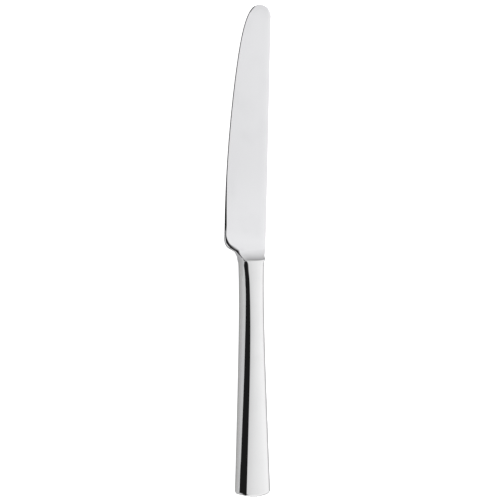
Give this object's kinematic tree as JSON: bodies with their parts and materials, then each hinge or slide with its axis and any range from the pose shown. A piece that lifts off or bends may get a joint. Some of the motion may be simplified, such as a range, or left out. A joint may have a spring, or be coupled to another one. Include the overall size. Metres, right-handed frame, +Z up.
{
  "type": "table knife",
  "caption": "Table knife with a gently curved cutting edge, rounded tip, ramped bolster and a hollow polished steel handle that widens towards its bowed butt.",
  "frame": {"origin": "bottom centre of the bounding box, on the table that the knife lies on", "axes": "+Y along the knife towards the tip, +X towards the spine, +Z up from the table"},
  "size_m": [0.0261, 0.2364, 0.009],
  "materials": {
    "blade_steel": "hardened stainless steel, fine polish",
    "handle_steel": "stainless sheet, mirror polish",
    "braze": "braze alloy, polished flush",
    "cement": "cast bedding cement, matte",
    "solder": "solder, dull"
  },
  "bodies": {
    "root": {"blade": "blade_steel", "handle_shell_front": "handle_steel", "handle_shell_back": "handle_steel", "seam_braze": "braze", "tang_cement": "cement", "mouth_solder": "solder"}
  },
  "joints": []
}
